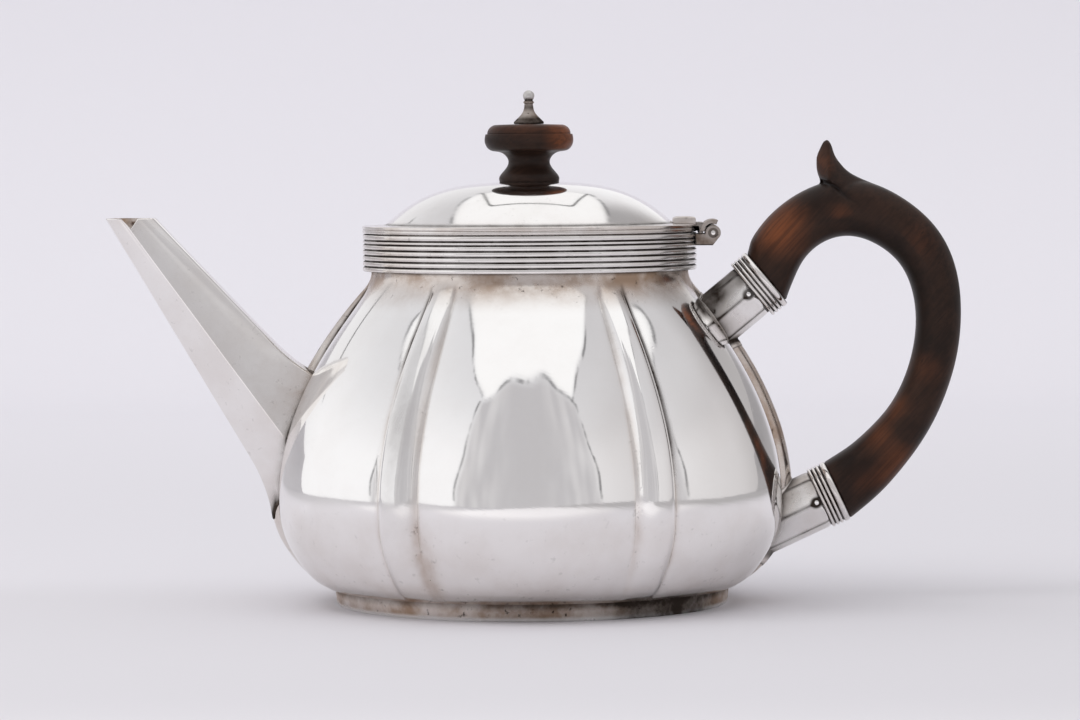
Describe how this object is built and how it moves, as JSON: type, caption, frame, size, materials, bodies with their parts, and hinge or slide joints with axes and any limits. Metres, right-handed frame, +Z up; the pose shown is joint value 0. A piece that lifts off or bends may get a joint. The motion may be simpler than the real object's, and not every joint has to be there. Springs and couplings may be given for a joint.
{
  "type": "teapot",
  "caption": "Silver teapot with a lobed and ribbed body, straight faceted spout, reeded collar, hinged domed lid, and wooden loop handle and knob.",
  "frame": {"origin": "centre of the foot ring's underside, on the table", "axes": "+Z up, +X towards the handle, the spout points to -X, +Y completes the right-handed set"},
  "size_m": [0.2561, 0.1572, 0.1537],
  "materials": {
    "silver": "polished, lightly tarnished",
    "wood": "satin, dark stained hardwood"
  },
  "bodies": {
    "pot": {"body_shell": "silver", "base_plate": "silver", "foot_ring": "silver", "reeded_collar": "silver", "spout": "silver", "hinge_bracket": "silver", "hinge_pin": "silver", "upper_socket": "silver", "upper_socket_plate": "silver", "upper_ferrule": "silver", "upper_handle_pin": "silver", "lower_socket": "silver", "lower_socket_plate": "silver", "lower_ferrule": "silver", "lower_handle_pin": "silver", "handle_grip": "wood"},
    "lid": {"lid_dome": "silver", "lid_rim": "silver", "lid_bezel": "silver", "lid_hinge_leaf": "silver", "finial_knob": "wood", "finial_tip": "silver", "finial_washer": "silver", "finial_nut": "silver"}
  },
  "joints": [
    {"name": "lid_hinge", "type": "hinge", "parent": "pot", "child": "lid", "pos_m": [0.05485, 0, 0.1108], "axis": [0, 1, 0], "range_deg": [0, 95]}
  ]
}
